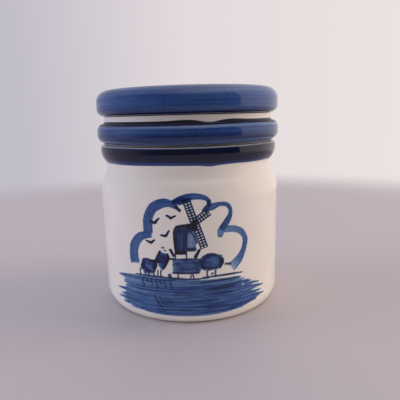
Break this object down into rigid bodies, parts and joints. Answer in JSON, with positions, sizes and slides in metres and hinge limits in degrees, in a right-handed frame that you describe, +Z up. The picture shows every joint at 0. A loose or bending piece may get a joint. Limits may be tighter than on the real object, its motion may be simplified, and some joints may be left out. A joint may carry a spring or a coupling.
{
  "type": "lidded storage jar",
  "caption": "Small round glazed ceramic storage jar: straight body, narrow neck under a bulging collar, and a ringed lift-off lid whose hollow plug carries a soft finned seal.",
  "frame": {"origin": "middle of the foot ring, on the surface that the jar stands on", "axes": "+Z up along the jar's axis of revolution; -Y is the painted front, +X is to its right as seen from the front"},
  "size_m": [0.07, 0.07, 0.0822],
  "materials": {
    "jar_glaze": "glossy white tin glaze, with a dark blue band round the collar and a blue brush-painted landscape on the front",
    "lid_glaze": "glossy cobalt blue brushed bands on both rings, with the white glaze left bare in the groove between them",
    "seal_silicone": "translucent pale silicone, satin"
  },
  "bodies": {
    "jar": {"jar": "jar_glaze"},
    "seal_ring": {"seal_ring": "seal_silicone"},
    "lid": {"lid": "lid_glaze"}
  },
  "joints": [
    {"name": "lid_lift", "type": "slide", "parent": "jar", "child": "seal_ring", "axis": [0, 0, 1], "range_m": [0, 0.05]},
    {"name": "lid_turn", "type": "hinge", "parent": "seal_ring", "child": "lid", "pos_m": [0, 0, 0.0622], "axis": [0, 0, 1], "continuous": true}
  ]
}
